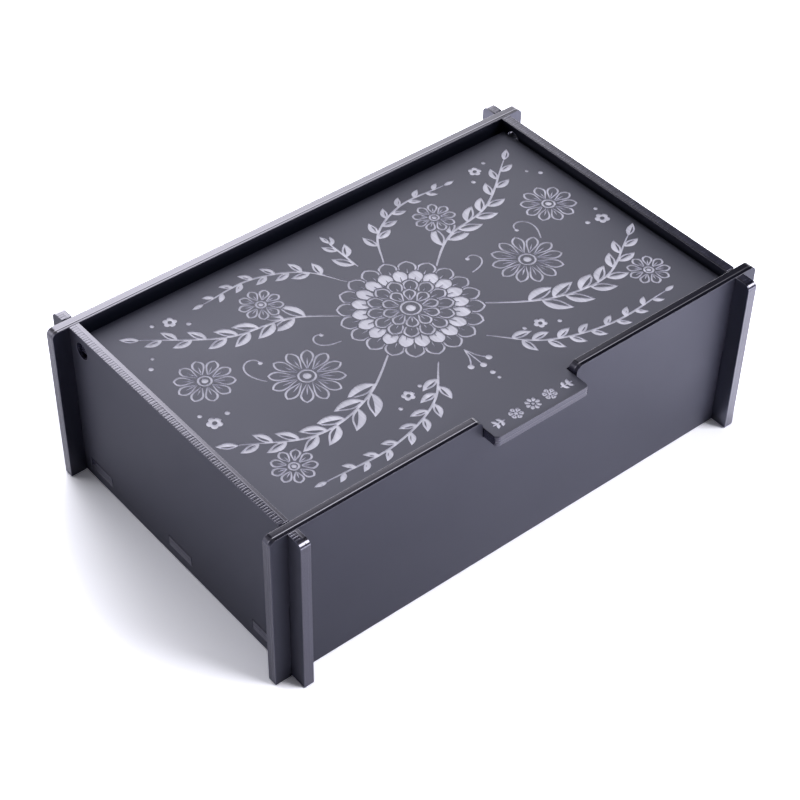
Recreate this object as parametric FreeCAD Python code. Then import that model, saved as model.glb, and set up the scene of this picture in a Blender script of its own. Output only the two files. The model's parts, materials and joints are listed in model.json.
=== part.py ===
import FreeCAD, Part
import math
import os

from FreeCAD import Vector

# Jewellery box of interlocking flat acrylic panels with an inset hinged lid.
# Millimetres. X runs along the front, Y to the rear, Z up. The origin is the
# middle of the footprint, at the level the panels stand on.

# Driving dimensions
sheet = 3.0             # thickness of every panel
box_length = 150.0      # over the outer faces of the two end panels
box_width = 95.0        # over the outer faces of the front and rear panels
box_height = 50.8
overhang = 5.0          # each panel's length past the face it crosses
corner_radius = 1.8     # free top corners of the panels

# Corner joints: the front and rear panels drop over the end panels
lap_play = 0.3          # a slot's width beyond the sheet it holds
lap_gap = 0.2           # left open where two slot ends meet

# Floor
floor_lift = 3.3        # from the table to the floor's underside
tab_length = 10.0
tab_pitch = 36.5
tabs_per_end = 3
tab_play = 0.4          # a tab slot's size beyond its tab
floor_play = 0.1        # floor to the front and rear panels

# Lid and its hinge
hinge_y = 39.2
hinge_z = 46.3
hinge_hole_radius = 2.5
ear_width = 3.0         # the lid's square ears turn in the round holes
ear_recess = 1.0        # ear end inside the outer face of the end panel
lid_tail = 3.3          # lid behind the hinge line
lid_side_gap = 0.5
lid_front_gap = 0.4
lid_rise = 0.47         # degrees by which the lid climbs to its front edge

# Pull tab at the middle of the lid's front edge, and the notch that it lies in
pull_width = 30.5
pull_reach = 4.9        # past the outer face of the front panel
pull_radius = 1.2
notch_side_gap = 0.25
notch_radius = 1.9
notch_gap = 0.05        # pull tab to the notch floor

# Loose dividers that stand on the floor and cross in half slots
divider_height = 30.0
divider_play = 0.3      # divider end to the wall
cross_dividers = 2

# Worked out from the driving dimensions
half_length = box_length / 2
half_width = box_width / 2
inner_half_length = half_length - sheet
inner_half_width = half_width - sheet
lap_height = box_height / 2
floor_top = floor_lift + sheet
divider_top = floor_top + divider_height
divider_lap = (floor_top + divider_top) / 2


def in_front_view(u, v):
    return Vector(u, 0, v)


def in_end_view(u, v):
    return Vector(0, u, v)


def in_plan(u, v):
    return Vector(u, v, 0)


def rounded_wire(corners, view):
    """Closed wire through (u, v) or (u, v, radius) corners, each rounded by its radius."""
    points = [view(corner[0], corner[1]) for corner in corners]
    radii = [corner[2] if len(corner) > 2 else 0 for corner in corners]
    runs = []
    arcs = []
    for i, point in enumerate(points):
        back = (points[i - 1] - point).normalize()
        ahead = (points[(i + 1) % len(points)] - point).normalize()
        if radii[i] == 0:
            runs.append((point, point))
            continue
        half_angle = back.getAngle(ahead) / 2
        setback = radii[i] / math.tan(half_angle)
        bisector = (back + ahead).normalize()
        crown = point + bisector * (radii[i] / math.sin(half_angle) - radii[i])
        runs.append((point + back * setback, point + ahead * setback))
        arcs.append(Part.Arc(runs[-1][0], crown, runs[-1][1]).toShape())
    lines = [
        Part.LineSegment(runs[i - 1][1], runs[i][0]).toShape()
        for i in range(len(runs))
    ]
    return Part.Wire(Part.__sortEdges__(lines + arcs))


def plate(corners, view, start, direction):
    """Piece of sheet with this outline, from its start point along a direction."""
    face = Part.Face(rounded_wire(corners, view))
    face.translate(start)
    return face.extrude(direction * sheet)


def mirrored(half):
    """Whole outline from its half with u below zero."""
    other = [(-corner[0],) + tuple(corner[1:]) for corner in reversed(half)]
    return half + other


def slot_corners(low, high, mouth, end):
    """The four corners of a slot that is open at the mouth level."""
    return [(low, mouth), (low, end), (high, end), (high, mouth)]


def long_panel(middle_of_top, front_face):
    """Front or rear panel: a slot from below over each end panel."""
    play = lap_play / 2
    outer_end = -half_length - overhang
    slot_end = lap_height + lap_gap / 2
    half = list(middle_of_top)
    half += [(outer_end, box_height, corner_radius), (outer_end, 0)]
    half += slot_corners(-half_length - play, -inner_half_length + play, 0, slot_end)
    return plate(mirrored(half), in_front_view, Vector(0, front_face, 0), Vector(0, 1, 0))


def front_panel():
    """Its top edge has the notch that the lid's pull tab lies in."""
    half_notch = pull_width / 2 + notch_side_gap
    notch = [(-half_notch, notch_floor()), (-half_notch, box_height, notch_radius)]
    return long_panel(notch, -half_width)


def rear_panel():
    return long_panel([], inner_half_width)


def notch_floor():
    """Level of the pull tab's underside where it crosses the front panel's inner face."""
    reach = hinge_y + inner_half_width
    return hinge_z - sheet / 2 + reach * math.tan(math.radians(lid_rise)) - notch_gap


def end_panel(left_face):
    """End panel: a slot from above at each long panel, hinge hole and floor slots."""
    outer_end = half_width + overhang
    slot_end = lap_height - lap_gap / 2
    corners = [(-outer_end, 0), (-outer_end, box_height, corner_radius)]
    corners += slot_corners(-half_width, -inner_half_width + lap_play, box_height, slot_end)
    corners += slot_corners(inner_half_width, half_width + lap_play, box_height, slot_end)
    corners += [(outer_end, box_height, corner_radius), (outer_end, 0)]
    panel = plate(corners, in_end_view, Vector(left_face, 0, 0), Vector(1, 0, 0))
    hole = Part.makeCylinder(
        hinge_hole_radius, sheet, Vector(left_face, hinge_y, hinge_z), Vector(1, 0, 0)
    )
    panel = panel.cut(hole)
    for y in tab_places():
        slot = Part.makeBox(
            sheet, tab_length + tab_play, sheet + tab_play,
            Vector(left_face, y - (tab_length + tab_play) / 2, floor_lift),
        )
        panel = panel.cut(slot)
    return panel


def tab_places():
    """Middle of each floor tab along an end panel."""
    first = -tab_pitch * (tabs_per_end - 1) / 2
    return [first + tab_pitch * i for i in range(tabs_per_end)]


def floor_panel():
    """Floor between the four walls, with tabs through the end panels."""
    side = inner_half_width - floor_play
    half = [(-inner_half_length, side)]
    for y in reversed(tab_places()):
        half += [
            (-inner_half_length, y + tab_length / 2),
            (-half_length, y + tab_length / 2),
            (-half_length, y - tab_length / 2),
            (-inner_half_length, y - tab_length / 2),
        ]
    half.append((-inner_half_length, -side))
    return plate(mirrored(half), in_plan, Vector(0, 0, floor_lift), Vector(0, 0, 1))


def lid():
    """Inset lid with an ear at each rear corner and the pull tab in front."""
    side = -inner_half_length + lid_side_gap
    ear_end = -half_length + ear_recess
    front = -inner_half_width + lid_front_gap
    half = [
        (side, hinge_y + lid_tail),
        (side, hinge_y + ear_width / 2),
        (ear_end, hinge_y + ear_width / 2),
        (ear_end, hinge_y - ear_width / 2),
        (side, hinge_y - ear_width / 2),
        (side, front),
        (-pull_width / 2, front),
        (-pull_width / 2, -half_width - pull_reach, pull_radius),
    ]
    flat = plate(mirrored(half), in_plan, Vector(0, 0, hinge_z - sheet / 2), Vector(0, 0, 1))
    flat.rotate(Vector(0, hinge_y, hinge_z), Vector(-1, 0, 0), lid_rise)
    return flat


def divider(half_span, slots_below, slots_above):
    """Outline of a divider with half slots from below and from above at these places."""
    half_slot = (sheet + lap_play) / 2
    outline = [(-half_span, floor_top)]
    for place in slots_below:
        end = divider_lap + lap_gap / 2
        outline += slot_corners(place - half_slot, place + half_slot, floor_top, end)
    outline += [(half_span, floor_top), (half_span, divider_top, corner_radius)]
    for place in reversed(slots_above):
        end = divider_lap - lap_gap / 2
        outline += slot_corners(place + half_slot, place - half_slot, divider_top, end)
    outline.append((-half_span, divider_top, corner_radius))
    return outline


def cross_places():
    """Middle of each cross divider, which part the inside evenly."""
    step = 2 * inner_half_length / (cross_dividers + 1)
    return [step * (i + 1) - inner_half_length for i in range(cross_dividers)]


def long_divider():
    corners = divider(inner_half_length - divider_play, [], cross_places())
    return plate(corners, in_front_view, Vector(0, -sheet / 2, 0), Vector(0, 1, 0))


def cross_divider(middle):
    corners = divider(inner_half_width - divider_play, [0], [])
    return plate(corners, in_end_view, Vector(middle - sheet / 2, 0, 0), Vector(1, 0, 0))


def pieces():
    """Every piece of the box by its name."""
    made = {
        "front_panel": front_panel(),
        "rear_panel": rear_panel(),
        "left_end_panel": end_panel(-half_length),
        "right_end_panel": end_panel(inner_half_length),
        "floor_panel": floor_panel(),
        "lid": lid(),
        "long_divider": long_divider(),
    }
    for side, middle in zip(("left", "right"), cross_places()):
        made[side + "_cross_divider"] = cross_divider(middle)
    return made


os.makedirs("parts", exist_ok=True)
for name, shape in pieces().items():
    assert shape.isValid() and len(shape.Solids) == 1, name
    shape.exportStep("parts/" + name + ".step")
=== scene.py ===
import cmath
import json
import math

import bmesh
import bpy
from mathutils import Matrix, Vector
from mathutils.geometry import delaunay_2d_cdt

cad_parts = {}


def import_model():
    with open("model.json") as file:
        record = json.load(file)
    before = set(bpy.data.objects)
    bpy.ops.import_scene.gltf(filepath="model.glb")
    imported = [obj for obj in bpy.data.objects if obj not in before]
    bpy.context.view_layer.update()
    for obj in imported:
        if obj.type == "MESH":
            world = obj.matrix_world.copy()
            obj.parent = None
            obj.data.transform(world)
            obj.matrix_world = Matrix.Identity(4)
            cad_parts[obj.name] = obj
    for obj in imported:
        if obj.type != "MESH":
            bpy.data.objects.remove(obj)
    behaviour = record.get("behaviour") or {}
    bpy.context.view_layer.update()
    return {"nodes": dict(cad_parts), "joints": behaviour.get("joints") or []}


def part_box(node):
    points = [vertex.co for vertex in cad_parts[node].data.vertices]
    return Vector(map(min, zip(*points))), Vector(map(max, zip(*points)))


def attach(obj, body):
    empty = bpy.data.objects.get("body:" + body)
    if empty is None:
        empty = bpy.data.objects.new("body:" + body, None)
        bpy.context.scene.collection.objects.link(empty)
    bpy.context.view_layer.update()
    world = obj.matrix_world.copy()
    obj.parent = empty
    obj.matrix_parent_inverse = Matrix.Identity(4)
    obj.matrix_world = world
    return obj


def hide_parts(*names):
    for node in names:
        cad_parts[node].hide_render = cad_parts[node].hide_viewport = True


# Jewellery box of black satin acrylic sheets with an engraved lid.
# Metres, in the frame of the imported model. The ornament is drawn in millimetres
# on complex numbers: x along the front, y to the rear, from the middle of the box.

MM = 0.001
SHEET = 3 * MM              # thickness of every sheet

# Camera at the photograph's place
CAMERA_PLACE = Vector((-0.25486, -0.29806, 0.38017))
CAMERA_TARGET = Vector((-0.02212, -0.00639, 0.02501))
CAMERA_LENS = 88.88
CAMERA_SHIFT = (0.0549, 0.0241)

# Light panels: azimuths from the rear towards the right and the width of their soft edge,
# elevations and theirs, all in degrees, and radiance
PANELS = (
    ((120, 156), 12, (24, 56), 12, 8.0),    # key, in front at the right
    ((0, 62), 20, (-8, 20), 14, 6.0),       # low behind
    ((4, 41), 20, (17, 30), 8, 6.4),        # behind, over it
    ((4, 41), 20, (30, 43.5), 7, 6.1),      # behind, above that
    ((-50, 4), 20, (-8, 30), 14, 3.6),      # low behind at the left
    ((-181, 181), 1, (62, 91), 12, 0.3),    # overhead
)
AMBIENT = 0.02
SWEEP = 0.25                # radiance of the pale sweep all round
SWEEP_TOP = 18              # its upper limit and the width of that soft edge, in degrees
SWEEP_SOFT = 16
DOWN = -100                 # an elevation past straight down

# Floor. The camera sees it brighter than it lights the box, by FLOOR_GAIN. So do reflections
# and light through glass, by two gains at two places along the front, in metres: painted light
# that is weak at the left and strong at the right.
FLOOR_REACH = 3.0
FLOOR_COLOURS = ((0.83, 0.83, 0.90), (0.86, 0.86, 0.93))
FLOOR_GAIN = 1.35
MIRRORED_GAINS = (0.30, 2.1)
MIRRORED_PLACES = (-0.10, 0.02)

# Sheets' own surface, and the engraved one. Depths are in metres.
NOISE_RANGE = (0.3, 0.7)    # where nearly all of a noise's values lie
SHEET_COLOURS = ((0.003, 0.0035, 0.008), (0.006, 0.0075, 0.015))
SHEET_TINT = (0.67, 0.665, 0.90, 1)
SHEET_IOR = 1.54
GRAIN_DEPTH = 2.6e-6
SATIN_ROUGHNESS = (0.56, 0.60)
SMOOTH_ROUGHNESS = (0.30, 0.34)
FROST_COLOURS = ((0.40, 0.395, 0.49), (0.70, 0.69, 0.81))
FROST_ROUGHNESS = (0.6, 0.8)
FROST_DEPTH = 1.2e-5

# Cut edges. Pairs are for the upright and for the level runs, and widths across an edge are
# shares of the sheet's thickness.
EDGE_TONES_WITH_PAINTED_LIGHT = (0.028, 0.008)    # red and green of the edge's colour; the upright runs are lighter than the level ones, which is painted light
EDGE_BLUE = 1.9                     # its blue, for one of red or green
EDGE_ROUGHNESS = (0.27, 0.14)
EASED_ROUGHNESS = 0.2               # added where the edge rounds off into a face
EDGE_IOR = 1.57
EDGE_TINT = (0.85, 0.823, 1.0, 1)
GLOSSY = 0.2                        # round corners with less roughness than this
GLOSSY_IOR = 1.8                    # reflect more, by this IOR
SCORE_DEPTH = 1.2e-6                # of the faint lines lengthwise
GROOVE_REACH = 0.10
STROKE_PITCH = 0.9 * MM
STROKE_WOBBLE = 7.0                 # radians
STROKE_DEPTH = 1.0e-5
STROKE_BRIGHTNESS = 0.02
STROKE_FADE = 0.05

# What cut_edge is given for a wall; the other sheets have a groove in the middle
PLAIN_EDGE = {"line_at": 0.5}
WALL_EDGES = {
    "front_panel": {"line_at": 0.33, "gloss": 0.32, "shine": 0.75, "lip": 1.4e-4},
    "rear_panel": {"line_at": 0.30, "gloss": 0.32},
    "left_end_panel": {"line_at": 0.64, "line_depth": 1.2e-5, "gloss": 0.10, "strokes": (-0.2, 0.64)},
    "right_end_panel": {"line_at": 0.07, "gloss": 0.10, "strokes": (0.2, 1.2)},
}

# All sheets but the lid: the axis that each is thin along, and for a wall the sign of the
# direction in which its smoother inner face looks
SHEETS = (
    ("front_panel", 1, 1),
    ("rear_panel", 1, -1),
    ("left_end_panel", 0, 1),
    ("right_end_panel", 0, -1),
    ("floor_panel", 2, 0),
    ("long_divider", 1, 0),
    ("left_cross_divider", 0, 0),
    ("right_cross_divider", 0, 0),
)

# Shape of the sheets
EASE = 0.14 * MM            # rounding of every edge of a sheet
EASE_STEPS = 2
SHARP_ANGLE = math.radians(40)      # edges from here on are rounded
SHADING_ANGLE = math.radians(50)    # edges from here on stay sharp in the shading
FLAT_ANGLE = math.radians(1)        # faces that meet at less are joined up
ALONG_AXIS = 0.99           # cosine from which a face counts as looking along an axis
SAME_SPOT = 1e-7

# Engraving
CUT_DEPTH = 0.14            # millimetres
LINE = 0.55                 # width of an engraved line, millimetres
FINE_LINE = 0.4
CLEARANCE = 0.7             # left plain between a leaf or petal and what lies under it
PETAL_CREST = 0.68          # share of a petal's length at which it is widest
PETAL_FULLNESS = 0.72
TAB_MIDDLE = 4.0            # from the pull tab's front edge to the middle of its ornament
SAME_POINT = 1e-4           # points of two outlines that are closer than this are one

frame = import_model()


# Materials

class Graph:
    """Node tree of one material or of the world, built a node at a time."""

    def __init__(self, tree):
        self.tree = tree
        self.tree.nodes.clear()

    def add(self, kind, inputs=None, **settings):
        """Adds a node; an input that is another node's output is linked, others are set."""
        node = self.tree.nodes.new(kind)
        for name, value in settings.items():
            setattr(node, name, value)
        for name, value in (inputs or {}).items():
            if isinstance(value, bpy.types.NodeSocket):
                self.tree.links.new(value, node.inputs[name])
            else:
                node.inputs[name].default_value = value
        return node

    def math(self, operation, *values):
        node = self.add("ShaderNodeMath", operation=operation)
        for socket, value in zip(node.inputs, values):
            if isinstance(value, bpy.types.NodeSocket):
                self.tree.links.new(value, socket)
            else:
                socket.default_value = value
        return node.outputs[0]

    def remap(self, value, low, high, to_low=0.0, to_high=1.0, smooth=False):
        return self.add(
            "ShaderNodeMapRange",
            {"Value": value, "From Min": low, "From Max": high, "To Min": to_low, "To Max": to_high},
            interpolation_type="SMOOTHSTEP" if smooth else "LINEAR",
        ).outputs["Result"]

    def mixed(self, share, first, second):
        """Value between two values."""
        return self.remap(share, 0.0, 1.0, first, second)

    def noise(self, vector, scale, detail=2.0, roughness=0.5):
        """Noise with about this many swells to the metre."""
        inputs = {"Vector": vector, "Scale": scale, "Detail": detail, "Roughness": roughness}
        return self.add("ShaderNodeTexNoise", inputs).outputs["Fac"]

    def blend(self, share, first, second):
        """Colour between two colours."""
        node = self.add("ShaderNodeMix", data_type="RGBA")
        colours = [socket for socket in node.inputs if socket.type == "RGBA"]
        colours[0].default_value = (*first, 1)
        colours[1].default_value = (*second, 1)
        self.tree.links.new(share, node.inputs["Factor"])
        return next(socket for socket in node.outputs if socket.type == "RGBA")

    def scaled(self, vector, factors):
        """Vector or colour multiplied by three factors, or by a value that is worked out."""
        node = self.add("ShaderNodeVectorMath", operation="MULTIPLY")
        self.tree.links.new(vector, node.inputs[0])
        if isinstance(factors, bpy.types.NodeSocket):
            self.tree.links.new(factors, node.inputs[1])
        else:
            node.inputs[1].default_value = factors
        return node.outputs[0]


def new_material(name):
    made = bpy.data.materials.new(name)
    made.use_nodes = True
    return made, Graph(made.node_tree)


def finish_material(graph, inputs, height, relief):
    """Principled shader with these inputs; relief is the height map's full depth in metres."""
    bump = graph.add("ShaderNodeBump", {"Height": height, "Distance": relief, "Strength": 1.0})
    inputs["Normal"] = bump.outputs["Normal"]
    shader = graph.add("ShaderNodeBsdfPrincipled", inputs)
    graph.add("ShaderNodeOutputMaterial", {"Surface": shader.outputs["BSDF"]})


def sheet_face(name, roughness):
    """Sheet's own surface: near black, with a very fine even grain."""
    made, graph = new_material(name)
    place = graph.add("ShaderNodeTexCoord").outputs["Object"]
    grain = graph.noise(place, 2000, 2.0, 0.6)
    drift = graph.noise(place, 28, 2.0)
    share = graph.math("ADD", graph.math("MULTIPLY", grain, 0.6), graph.math("MULTIPLY", drift, 0.4))
    finish_material(
        graph,
        {
            "Base Color": graph.blend(share, *SHEET_COLOURS),
            "Roughness": graph.remap(drift, *NOISE_RANGE, *roughness),
            "IOR": SHEET_IOR,
            "Specular IOR Level": 1.0,
            "Specular Tint": SHEET_TINT,
        },
        grain, GRAIN_DEPTH,
    )
    return made


def cut_edge(
    name, axis, low, line_at, line_depth=2.8e-5, gloss=0.3, shine=1.0, strokes=None, lip=0.0
):
    """Laser cut edge of a sheet that is thin along this axis and starts at low on it. It is
    satin on the upright runs and smoother on the level ones, with faint lines lengthwise and a
    groove at the share line_at of the thickness, where the cut's two zones meet. gloss is the
    roughness of the round corners, and shine scales the reflection. strokes is the range of
    shares in which the edges that face up have fine cross strokes, and lip is the height in
    metres by which the part before the groove climbs."""
    made, graph = new_material(name)
    spot = graph.add("ShaderNodeTexCoord").outputs
    place = spot["Object"]
    parts = graph.add("ShaderNodeSeparateXYZ", {"Vector": place})
    facing = graph.add("ShaderNodeSeparateXYZ", {"Vector": spot["Normal"]}).outputs
    across = graph.remap(parts.outputs[axis], low, low + SHEET)
    upwards = facing["Z"]
    square = graph.math("MULTIPLY", upwards, upwards)
    slant = graph.math("MULTIPLY", square, graph.math("SUBTRACT", 1.0, square))
    eased = graph.remap(graph.math("ABSOLUTE", facing[axis]), 0.1, 0.3)
    flat = graph.math("SUBTRACT", 1.0, eased)
    turned = graph.math("MULTIPLY", graph.remap(slant, 0.02, 0.10), flat)
    level = graph.remap(square, 0.4, 0.9)
    lengthwise = [0.02, 0.02, 0.02]
    lengthwise[axis] = 1.0
    lines = graph.noise(graph.scaled(place, lengthwise), 3200, 2.0, 0.6)
    lines = graph.remap(lines, *NOISE_RANGE)
    offset = graph.math("ABSOLUTE", graph.math("SUBTRACT", across, line_at))
    groove = graph.remap(offset, 0.0, GROOVE_REACH, 1.0, 0.0, True)
    height = graph.math("MULTIPLY", lines, SCORE_DEPTH)
    height = graph.math("MULTIPLY_ADD", groove, line_depth, height)
    rough = graph.mixed(turned, graph.mixed(level, *EDGE_ROUGHNESS), gloss)
    rough = graph.math("MULTIPLY_ADD", eased, EASED_ROUGHNESS, rough)
    # Painted light: the edge's upright runs get a lighter colour than its level runs
    edge_tone_with_painted_light = graph.mixed(level, *EDGE_TONES_WITH_PAINTED_LIGHT)
    if lip:
        height = graph.math("MULTIPLY_ADD", graph.remap(across, 0.0, line_at), lip, height)
    if strokes:
        crosswise = [1.0, 1.0, 1.0]
        crosswise[axis] = 0.1
        wobble = graph.noise(graph.scaled(place, crosswise), 500, 2.0)
        phase = graph.math("MULTIPLY", parts.outputs[1 - axis], 2 * math.pi / STROKE_PITCH)
        comb = graph.math("SINE", graph.math("MULTIPLY_ADD", wobble, STROKE_WOBBLE, phase))
        uneven = graph.remap(graph.noise(place, 900, 1.0), 0.35, 0.6, 0.4, 1.0)
        marks = graph.math("MULTIPLY", graph.remap(comb, -0.9, 0.1), uneven)
        middle = (strokes[0] + strokes[1]) / 2
        away = graph.math("ABSOLUTE", graph.math("SUBTRACT", across, middle))
        half = (strokes[1] - strokes[0]) / 2
        zone = graph.remap(away, half, half - STROKE_FADE)
        zone = graph.math("MULTIPLY", graph.remap(upwards, 0.6, 0.9), zone)
        marks = graph.math("MULTIPLY", marks, zone)
        height = graph.math("MULTIPLY_ADD", marks, STROKE_DEPTH, height)
        edge_tone_with_painted_light = graph.math("MULTIPLY_ADD", marks, STROKE_BRIGHTNESS, edge_tone_with_painted_light)
    tone = graph.math("MULTIPLY", edge_tone_with_painted_light, graph.math("MULTIPLY_ADD", lines, 0.6, 0.7))
    blue = graph.math("MULTIPLY", tone, EDGE_BLUE)
    colour = graph.add("ShaderNodeCombineXYZ", {"X": tone, "Y": tone, "Z": blue})
    finish_material(
        graph,
        {
            "Base Color": colour.outputs["Vector"],
            "Roughness": rough,
            "IOR": graph.mixed(turned, EDGE_IOR, GLOSSY_IOR) if gloss < GLOSSY else EDGE_IOR,
            "Specular IOR Level": shine,
            "Specular Tint": EDGE_TINT,
        },
        height, 1.0,
    )
    return made


def engraved(name):
    """Frosted surface that the laser leaves in an engraved area, with its raster streaks."""
    made, graph = new_material(name)
    place = graph.add("ShaderNodeTexCoord").outputs["Object"]
    streaks = graph.noise(graph.scaled(place, (1.0, 0.035, 0.0)), 1500, 2.0, 0.6)
    bands = graph.noise(graph.scaled(place, (1.0, 0.05, 0.0)), 260, 1.0)
    frost = graph.noise(place, 6000, 2.0)
    tone = graph.math("MULTIPLY", graph.remap(bands, *NOISE_RANGE), 0.45)
    tone = graph.math("MULTIPLY_ADD", graph.remap(streaks, 0.25, 0.75), 0.55, tone)
    finish_material(
        graph,
        {
            "Base Color": graph.blend(tone, *FROST_COLOURS),
            "Roughness": graph.remap(frost, *NOISE_RANGE, *FROST_ROUGHNESS),
            "Specular IOR Level": 0.4,
        },
        graph.math("ADD", graph.math("MULTIPLY", streaks, 0.7), graph.math("MULTIPLY", frost, 0.3)),
        FROST_DEPTH,
    )
    return made


# Sheets

def new_piece(name, mesh, materials, node):
    """Links a piece that stands for a node of the frame."""
    piece = bpy.data.objects.new(name, mesh)
    bpy.context.scene.collection.objects.link(piece)
    for one in materials:
        mesh.materials.append(one)
    normals = piece.modifiers.new("even_normals", "WEIGHTED_NORMAL")
    normals.keep_sharp = True
    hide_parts(node)
    return piece


def new_mesh(name, shape):
    """Smoothly shaded mesh from a shape, which is used up."""
    mesh = bpy.data.meshes.new(name)
    shape.to_mesh(mesh)
    shape.free()
    mesh.shade_smooth()
    mesh.set_sharp_from_angle(angle=SHADING_ANGLE)
    return mesh


def plain_outline(node):
    """The node's mesh with flat areas joined up."""
    shape = bmesh.new()
    shape.from_mesh(frame["nodes"][node].data)
    bmesh.ops.remove_doubles(shape, verts=shape.verts, dist=SAME_SPOT)
    bmesh.ops.dissolve_limit(shape, angle_limit=FLAT_ANGLE, verts=shape.verts, edges=shape.edges)
    return shape


def sheet(node, axis, inside, materials):
    """Sheet with this node's outline and every edge eased. Its materials are for the outside,
    the cut edges and the side that faces along the axis in the direction of inside's sign."""
    shape = plain_outline(node)
    sharp = [e for e in shape.edges if e.is_manifold and e.calc_face_angle(0) > SHARP_ANGLE]
    bmesh.ops.bevel(
        shape, geom=sharp, offset=EASE, offset_type="OFFSET", segments=EASE_STEPS,
        profile=0.5, affect="EDGES", clamp_overlap=True,
    )
    for one in shape.faces:
        one.material_index = 1
        if abs(one.normal[axis]) > ALONG_AXIS:
            one.material_index = 2 if one.normal[axis] * inside > 0 else 0
    mesh = new_mesh(node + "_sheet", shape)
    piece = new_piece(node + "_sheet", mesh, materials, node)
    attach(piece, "box")


# Ornament

def ring(centre, radius, count=24):
    return [centre + cmath.rect(radius, 2 * math.pi * i / count) for i in range(count)]


def curve(anchors, steps=12):
    """Smooth path through the anchors, as a Catmull-Rom spline."""
    ends = [2 * anchors[0] - anchors[1], *anchors, 2 * anchors[-1] - anchors[-2]]
    path = []
    for a, b, c, d in zip(ends, ends[1:], ends[2:], ends[3:]):
        for i in range(steps):
            t = i / steps
            path.append(
                0.5 * (2 * b + (c - a) * t + (2 * a - 5 * b + 4 * c - d) * t**2
                       + (3 * b - a - 3 * c + d) * t**3)
            )
    return path + [anchors[-1]]


def ribbon(path, half_width):
    """Outline of a stroke along a path; half_width is a function of the share of the way."""
    left = []
    right = []
    for i, point in enumerate(path):
        ahead = path[min(i + 1, len(path) - 1)] - path[max(i - 1, 0)]
        side = 1j * ahead / abs(ahead) * half_width(i / (len(path) - 1))
        left.append(point + side)
        right.append(point - side)
    return left + right[::-1]


class Blade:
    """Pointed leaf or petal shape, from its base along a heading that turns by bend."""

    def __init__(self, base, heading, length, width, bend=0.0, crest=0.45, fullness=1.0, count=12):
        power = math.log(0.5) / math.log(crest)
        self.spine = [base]
        for i in range(count):
            turn = heading + bend * (i + 0.5) / count
            self.spine.append(self.spine[-1] + cmath.rect(length / count, turn))
        self.left = []
        self.right = []
        for i, point in enumerate(self.spine):
            share = i / count
            swell = max(math.sin(math.pi * share**power), 0.0) ** fullness
            side = cmath.rect(width / 2 * swell, heading + bend * share + math.pi / 2)
            self.left.append(point + side)
            self.right.append(point - side)

    def outline(self):
        return self.left + self.right[-2:0:-1]

    def half(self, on_left):
        side = self.left if on_left else self.right
        return self.spine + side[-2:0:-1]


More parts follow.
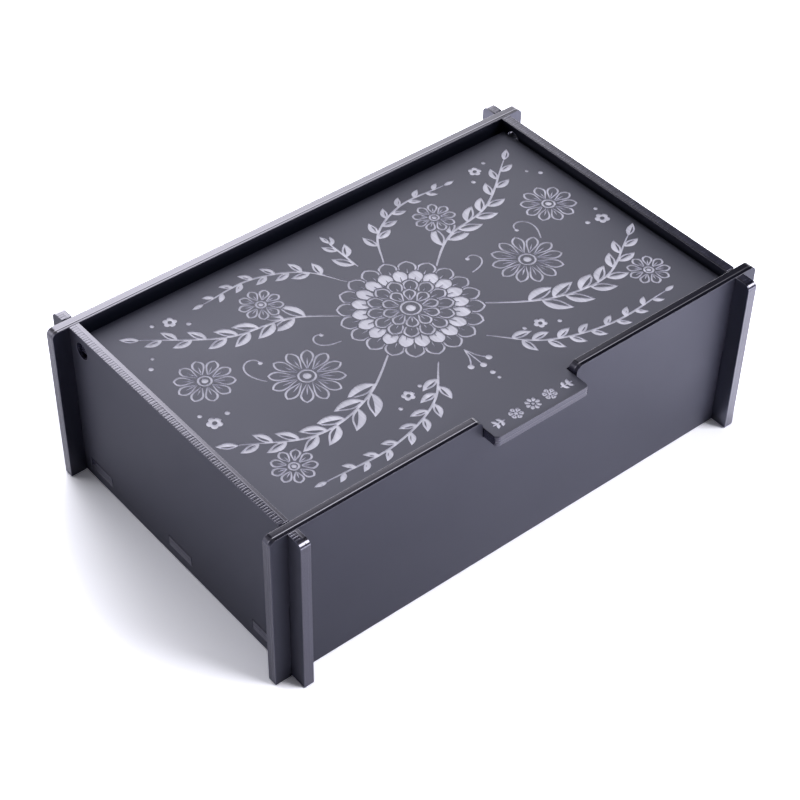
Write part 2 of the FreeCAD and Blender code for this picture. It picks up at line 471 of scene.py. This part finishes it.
class Ornament:
    """Layers of outlines, each cut into the lid or left plain, where a later one wins."""

    def __init__(self):
        self.layers = []

    def cut(self, outline):
        self.layers.append((outline, True))

    def clear(self, outline):
        self.layers.append((outline, False))

    def mirror(self):
        """Repeats all that is drawn so far on the other side of the y axis."""
        self.layers += [([-p.conjugate() for p in outline], cut) for outline, cut in self.layers]

    def stroke(self, path, width, tip=0.35):
        """Line along a path, thinner at both ends."""
        def half_width(share):
            run_in = min(1.0, min(share, 1 - share) / 0.2)
            return width / 2 * (tip + (1 - tip) * run_in)
        self.cut(ribbon(path, half_width))

    def dot(self, centre, radius):
        self.cut(ring(centre, radius, 14))

    def hoop(self, centre, radius):
        self.cut(ring(centre, radius))
        self.clear(ring(centre, radius - LINE))

    def leaf(self, base, heading, length, width, bend, filled_left):
        """Outlined leaf, one half of it filled."""
        self.clear(Blade(base, heading, length + CLEARANCE, width + 2 * CLEARANCE, bend).outline())
        self.cut(Blade(base, heading, length, width, bend).outline())
        inner = Blade(
            base + cmath.rect(1.5 * LINE, heading), heading + 0.08 * bend,
            length - 3.4 * LINE, max(width - 1.8 * LINE, 0.3), 0.85 * bend,
        )
        self.clear(inner.outline())
        self.cut(inner.half(filled_left))
        self.stroke(Blade(base, heading, 0.96 * length, 0, bend).spine, FINE_LINE)

    def petal(self, base, heading, length, width, crease, filled):
        """Petal with a plain gap round it, so that one lies over another."""
        def shape(start, spare):
            foot = base + cmath.rect(start, heading)
            size = (length - start + spare / 2, width + spare)
            return Blade(foot, heading, *size, 0, PETAL_CREST, PETAL_FULLNESS, 14).outline()
        self.clear(shape(0, CLEARANCE))
        self.cut(shape(0, 0))
        if not filled:
            self.clear(shape(1.3 * LINE, -2 * LINE))
        if crease:
            path = [base + cmath.rect(length * share, heading) for share in (0.16, 0.4, 0.62)]
            if filled:
                self.clear(ribbon(path, lambda share: FINE_LINE / 2 * (1 - 0.7 * share)))
            else:
                self.stroke(path, FINE_LINE, 0.2)

    def petals(self, centre, count, foot, reach, turn, spread, crease=True, filled=False):
        """Ring of petals from the foot radius to the reach radius."""
        width = 2 * math.pi * (foot + PETAL_CREST * (reach - foot)) / count * spread
        for i in range(count):
            heading = turn + 2 * math.pi * i / count
            start = centre + cmath.rect(foot, heading)
            self.petal(start, heading, reach - foot, width, crease, filled)

    def eye(self, centre, radius):
        """Middle of a flower: a hoop round a dot."""
        self.clear(ring(centre, radius + CLEARANCE / 2))
        self.hoop(centre, radius)
        self.dot(centre, 0.45 * radius)

    def daisy(self, centre, radius, count, turn=0.0):
        self.petals(centre, count, 0.2 * radius, radius, turn, 0.92)
        self.eye(centre, 0.25 * radius)

    def rosette(self, centre, radius):
        """Large flower of four rings of petals, the second ring filled."""
        self.petals(centre, 20, 0.56 * radius, radius, 0, 1.0)
        self.petals(centre, 20, 0.42 * radius, 0.80 * radius, math.pi / 20, 0.95, True, True)
        self.petals(centre, 14, 0.24 * radius, 0.60 * radius, 0, 1.0)
        self.petals(centre, 10, 0.12 * radius, 0.40 * radius, math.pi / 10, 0.95)
        self.eye(centre, 0.15 * radius)

    def spray(self, anchors, leaves, length, width, first, lean=0.78):
        """Stem with alternate leaves, from the share first on, smaller towards its tip."""
        path = curve(anchors)
        last = len(path) - 1
        for i in range(leaves):
            share = first + (0.93 - first) * i / (leaves - 1)
            spot = min(max(round(share * last), 1), last - 1)
            heading = cmath.phase(path[spot + 1] - path[spot - 1])
            size = 1 - 0.5 * share
            side = 1 if i % 2 == 0 else -1
            self.leaf(
                path[spot], heading + side * lean, length * size, width * size,
                -0.45 * side, side > 0,
            )
        heading = cmath.phase(path[-1] - path[-3])
        self.leaf(path[-1], heading, 0.55 * length, 0.5 * width, 0.1, True)
        self.stroke(path, 1.2 * LINE, 0.5)

    def blossom(self, centre, radius, turn):
        """Small filled flower of five round petals."""
        for i in range(5):
            heading = turn + 2 * math.pi * i / 5
            self.cut(ring(centre + cmath.rect(0.56 * radius, heading), 0.42 * radius, 12))
        self.clear(ring(centre, 0.3 * radius, 12))

    def berries(self, base, heading, length, count, radius, spread):
        """Fan of thin stalks, each with a berry."""
        for i in range(count):
            offset = i - (count - 1) / 2
            tip = base + cmath.rect(length * (1 - 0.09 * abs(offset)), heading + offset * spread)
            bow = base + cmath.rect(length * 0.5, heading + offset * spread * 0.7)
            self.stroke(curve([base, bow, tip], 5), FINE_LINE, 0.7)
            self.dot(tip, radius)

    def tendril(self, base, heading, length, curl):
        """Thin line that winds up at its tip and ends in a dot."""
        path = [base]
        steps = 26
        for i in range(steps):
            share = (i + 0.5) / steps
            path.append(path[-1] + cmath.rect(length / steps, heading + curl * share**2.2))
        self.stroke(path, FINE_LINE * 1.15, 0.7)
        self.dot(path[-1], 0.62)


def lid_ornament():
    """Flowers and sprays about a rosette, alike on both sides."""
    art = Ornament()
    art.spray([12 - 9j, 30 - 21j, 48 - 24j, 65 - 15j], 12, 10.6, 4.5, 0.24)
    art.spray([13 + 5j, 27 + 15j, 44 + 19j, 62 + 32j], 12, 9.8, 4.2, 0.24)
    art.spray([8 - 22j, 19 - 33j, 36 - 38.5j, 56 - 38j], 14, 6.6, 2.8, 0.14, 0.9)
    art.spray([6 + 17j, 13 + 28j, 26 + 34j, 41 + 33.5j], 11, 6.6, 2.8, 0.2, 0.9)
    art.tendril(46 - 1j, math.radians(58), 15, math.radians(230))
    art.tendril(22 - 0.5j, math.radians(8), 12, math.radians(230))
    art.daisy(37 - 5.5j, 10, 12, 0.13)
    art.daisy(58 + 9j, 8, 10)
    art.daisy(59 - 29j, 6, 9, 0.2)
    art.daisy(29.5 + 24j, 6.2, 9, 0.3)
    art.blossom(65 - 5j, 2.2, 0.3)
    art.dot(60.5 - 4j, 0.7)
    art.dot(66.5 - 0.8j, 0.6)
    art.blossom(52 + 33j, 2.0, 0.9)
    art.dot(56.5 + 34.5j, 0.6)
    art.dot(48.5 + 29.5j, 0.7)
    art.blossom(22 - 27j, 1.9, 0.5)
    art.dot(26.5 - 29.5j, 0.6)
    art.dot(17.5 - 26j, 0.6)
    art.dot(66 + 21j, 0.7)
    art.dot(63.5 + 24j, 0.5)
    art.mirror()
    art.rosette(-1.5j, 19.5)
    art.spray([20.5j, 27j, 33j], 4, 7.4, 3.2, 0.1)
    art.berries(-22.5j, math.radians(-90), 7.5, 3, 0.9, 0.45)
    art.dot(-33.5j, 0.75)
    art.dot(-36j, 0.5)
    return art.layers


def tab_ornament(middle):
    """Row of five small motifs."""
    art = Ornament()
    pitch = 5.6
    art.petals(middle + pitch, 6, 0.35, 2.0, math.radians(90), 0.9, False)
    art.dot(middle + pitch, 0.5)
    side = middle + 2 * pitch
    art.stroke(curve([side - 2, side, side + 1.9], 5), 0.45, 0.7)
    for foot in (-1.3, 0.2):
        for lean in (52, -52):
            leaf = Blade(side + foot, math.radians(lean), 1.9, 1.0, 0, 0.5, 1.0, 8)
            art.cut(leaf.outline())
    art.mirror()
    art.petals(middle, 8, 0.3, 2.2, 0, 0.86, False, True)
    art.clear(ring(middle, 0.75, 14))
    art.dot(middle, 0.45)
    return art.layers


# Lid

def inset(loop, distance):
    """Anticlockwise outline moved inwards."""
    moved = []
    for before, here, after in zip(loop[-1:] + loop[:-1], loop, loop[1:] + loop[:1]):
        first = 1j * (here - before) / abs(here - before)
        second = 1j * (after - here) / abs(after - here)
        both = first + second
        moved.append(here + both * distance / (1 + (first.conjugate() * second).real))
    return moved


def lid_plan():
    """The lid's place on its hinge line, and there its outline seen from above and the level
    of its top, in millimetres. It lies at a slight angle, which its top face gives."""
    shape = plain_outline("lid")
    tops = [one for one in shape.faces if one.normal.z > ALONG_AXIS]
    top = max(tops, key=lambda one: one.calc_area())
    slope = -math.atan2(top.normal.y, top.normal.z)
    pivot = Vector(frame["joints"][0]["pos_m"])
    place = Matrix.Translation(pivot) @ Matrix.Rotation(slope, 4, "X")
    back = place.inverted()
    corners = [back @ corner.co for corner in top.verts]
    outline = [complex(p.x, p.y) / MM for p in corners]
    shape.free()
    return place, outline, corners[0].z / MM


def anticlockwise(loop):
    area = sum((a.conjugate() * b).imag for a, b in zip(loop, loop[1:] + loop[:1]))
    return loop if area > 0 else loop[::-1]


def engraved_top(outline, shapes):
    """Spots and triangles of the lid's top, each triangle with whether it is engraved, and
    the spots of the outline's corners."""
    loops = [anticlockwise(loop) for loop in [outline] + [polygon for polygon, _ in shapes]]
    points = []
    faces = []
    for loop in loops:
        faces.append(range(len(points), len(points) + len(loop)))
        points += [Vector((p.real, p.imag)) for p in loop]
    parted = delaunay_2d_cdt(points, [], faces, 0, SAME_POINT, True)
    spots, _, triangles, sources, _, owners = parted
    kept = []
    for triangle, owner in zip(triangles, owners):
        if 0 in owner:      # inside the lid's outline, which is the first loop
            last = max(owner)
            kept.append((triangle, last > 0 and shapes[last - 1][1]))
    border = {}
    for spot, source in enumerate(sources):
        for one in source:
            if one < len(outline):
                border[one] = spot
    return spots, kept, [border[i] for i in range(len(outline))]


def lid(face, edge, frosted):
    """Lid with its ornament sunk into its top."""
    place, outline, top = lid_plan()
    hinge = complex(0, place.translation.y / MM)
    front = min(p.imag for p in outline) + hinge.imag
    layers = lid_ornament() + tab_ornament(complex(0, front + TAB_MIDDLE))
    shapes = [([p - hinge for p in polygon], cut) for polygon, cut in layers]
    ease = EASE / MM
    spots, triangles, border = engraved_top(inset(outline, ease), shapes)
    sunk = top - CUT_DEPTH
    shape = bmesh.new()

    def vertex(p, height):
        return shape.verts.new((p.real * MM, p.imag * MM, height * MM))

    known = {}

    def at(spot, height):
        """The one vertex over this spot at this height."""
        if (spot, height) not in known:
            known[spot, height] = vertex(complex(*spots[spot]), height)
        return known[spot, height]

    sides = {}
    for triangle, cut in triangles:
        made = shape.faces.new([at(spot, sunk if cut else top) for spot in triangle])
        made.material_index = 2 if cut else 0
        for a, b in zip(triangle, triangle[1:] + triangle[:1]):
            sides[a, b] = cut
    for (a, b), cut in sides.items():
        if cut and sides.get((b, a)) is False:      # plain on the other side
            wall = [at(b, sunk), at(a, sunk), at(a, top), at(b, top)]
            shape.faces.new(wall).material_index = 2
    # Rings of corners round the rim, from the top down: distance inwards and height
    profile = []
    for i in range(1, EASE_STEPS + 1):
        angle = math.pi / 2 * i / EASE_STEPS
        profile.append((ease * (1 - math.sin(angle)), top - ease * (1 - math.cos(angle))))
    profile += [(step, -height) for step, height in reversed(profile)] + [(ease, -top)]
    upper = [at(spot, top) for spot in border]
    for step, height in profile:
        lower = [vertex(p, height) for p in inset(outline, step)]
        for i, corner in enumerate(upper):
            shape.faces.new([upper[i - 1], lower[i - 1], lower[i], corner]).material_index = 1
        upper = lower
    shape.faces.new(upper[::-1]).material_index = 0
    bmesh.ops.recalc_face_normals(shape, faces=shape.faces)
    mesh = new_mesh("lid_sheet", shape)
    piece = new_piece("lid_sheet", mesh, [face, edge, frosted], "lid")
    piece.matrix_world = place
    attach(piece, "lid")


# Stage, lights and camera

def floor():
    """Pale floor under the box."""
    mesh = bpy.data.meshes.new("floor")
    signs = ((-1, -1), (1, -1), (1, 1), (-1, 1))
    corners = [(x * FLOOR_REACH, y * FLOOR_REACH, 0) for x, y in signs]
    mesh.from_pydata(corners, [], [range(4)])
    made = bpy.data.objects.new("floor", mesh)
    bpy.context.scene.collection.objects.link(made)
    white, graph = new_material("studio_floor")
    place = graph.add("ShaderNodeTexCoord").outputs["Object"]
    tone = graph.blend(graph.noise(place, 3.0), *FLOOR_COLOURS)
    path = graph.add("ShaderNodeLightPath").outputs
    sideways = graph.add("ShaderNodeSeparateXYZ", {"Vector": place}).outputs["X"]
    # Painted light for reflections and glass: little at the left, much more towards the right
    brighter = graph.remap(sideways, *MIRRORED_PLACES, *MIRRORED_GAINS)
    mirrored = graph.math("ADD", path["Is Glossy Ray"], path["Is Transmission Ray"])
    gain = graph.math("MULTIPLY_ADD", mirrored, brighter, 1.0)
    gain = graph.math("MULTIPLY_ADD", path["Is Camera Ray"], FLOOR_GAIN, gain)
    shader = graph.add("ShaderNodeBsdfDiffuse", {"Color": graph.scaled(tone, gain)})
    graph.add("ShaderNodeOutputMaterial", {"Surface": shader.outputs["BSDF"]})
    mesh.materials.append(white)


def window(graph, value, low, high, soft):
    """One between two angles in degrees, falling to zero over this many degrees about each."""
    low, high, soft = (math.radians(angle) for angle in (low, high, soft))
    rise = graph.remap(value, low - soft / 2, low + soft / 2, 0, 1, True)
    fall = graph.remap(value, high - soft / 2, high + soft / 2, 1, 0, True)
    return graph.math("MULTIPLY", rise, fall)


def world():
    """A white sweep round the box with soft-edged light panels above it."""
    made = bpy.data.worlds.new("studio")
    bpy.context.scene.world = made
    made.use_nodes = True
    graph = Graph(made.node_tree)
    aim = graph.add("ShaderNodeTexCoord").outputs["Generated"]
    parts = graph.add("ShaderNodeSeparateXYZ", {"Vector": aim}).outputs
    azimuth = graph.math("ARCTAN2", parts["X"], parts["Y"])
    elevation = graph.math("ARCSINE", parts["Z"])
    sweep = window(graph, elevation, DOWN, SWEEP_TOP, SWEEP_SOFT)
    total = graph.math("MULTIPLY_ADD", sweep, SWEEP, AMBIENT)
    for around, around_soft, up, up_soft, radiance in PANELS:
        across = window(graph, azimuth, *around, around_soft)
        upwards = window(graph, elevation, *up, up_soft)
        panel = graph.math("MULTIPLY", across, upwards)
        total = graph.math("MULTIPLY_ADD", panel, radiance, total)
    lights = graph.add("ShaderNodeBackground", {"Color": (1, 1, 1, 1), "Strength": total})
    graph.add("ShaderNodeOutputWorld", {"Surface": lights.outputs["Background"]})


def camera():
    made = bpy.data.objects.new("camera", bpy.data.cameras.new("camera"))
    bpy.context.scene.collection.objects.link(made)
    made.location = CAMERA_PLACE
    made.rotation_mode = "QUATERNION"
    made.rotation_quaternion = (CAMERA_TARGET - CAMERA_PLACE).to_track_quat("-Z", "Y")
    made.data.lens = CAMERA_LENS
    made.data.shift_x, made.data.shift_y = CAMERA_SHIFT
    bpy.context.scene.camera = made


bpy.context.scene.view_settings.view_transform = "Standard"
camera()
floor()
world()

satin = sheet_face("satin_black", SATIN_ROUGHNESS)
smooth = sheet_face("smooth_black", SMOOTH_ROUGHNESS)
for node, axis, inside in SHEETS:
    finish = WALL_EDGES.get(node, PLAIN_EDGE)
    edge = cut_edge(node + "_edge", axis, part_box(node)[0][axis], **finish)
    materials = [satin, edge, smooth] if inside else [satin, edge]
    sheet(node, axis, inside, materials)
lid(satin, cut_edge("lid_edge", 2, -SHEET / 2, **PLAIN_EDGE), engraved("engraved"))
